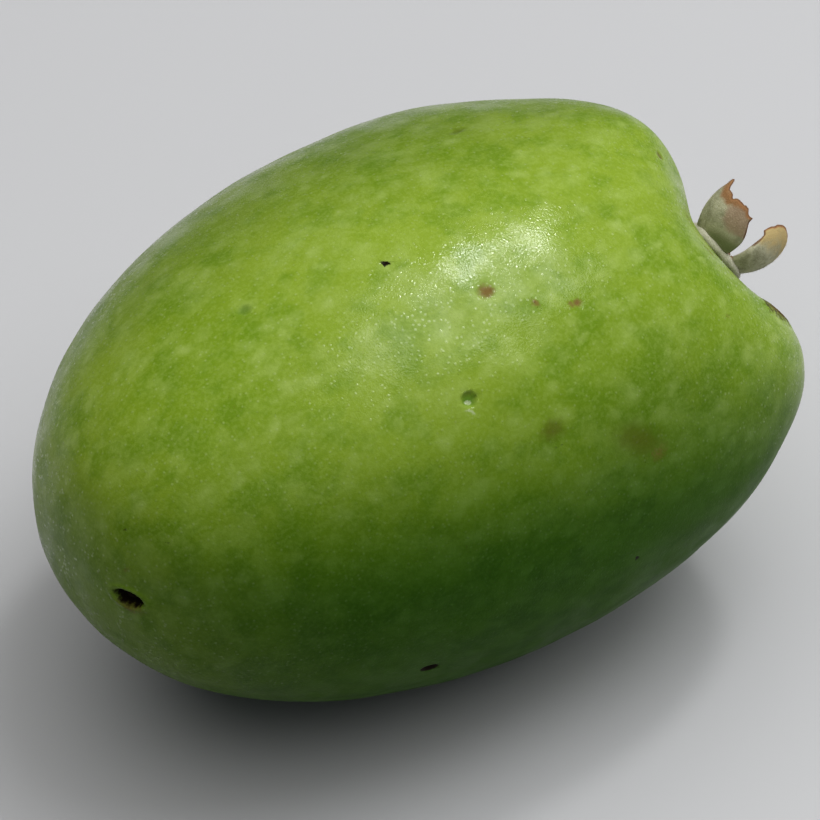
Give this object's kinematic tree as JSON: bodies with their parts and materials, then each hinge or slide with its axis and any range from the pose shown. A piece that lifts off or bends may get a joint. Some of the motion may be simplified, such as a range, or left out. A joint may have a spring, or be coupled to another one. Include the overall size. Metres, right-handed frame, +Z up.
{
  "type": "feijoa",
  "caption": "Oblong green feijoa lying on its side, with a dry torn calyx in a shallow basin at one end and a round stem scar at the other.",
  "frame": {"origin": "under the middle of the whole object's box, on the surface that it rests on", "axes": "+X along the fruit towards the calyx, +Z up, -Y towards the valley between two shoulder lobes that the picture shows"},
  "size_m": [0.0766, 0.053, 0.0462],
  "materials": {
    "skin": "waxy satin skin with soft pale and dark green mottling and a few brown specks",
    "calyx": "dry felted grey-green with rusty brown torn edges"
  },
  "bodies": {
    "root": {"fruit": "skin", "calyx": "calyx"}
  },
  "joints": []
}
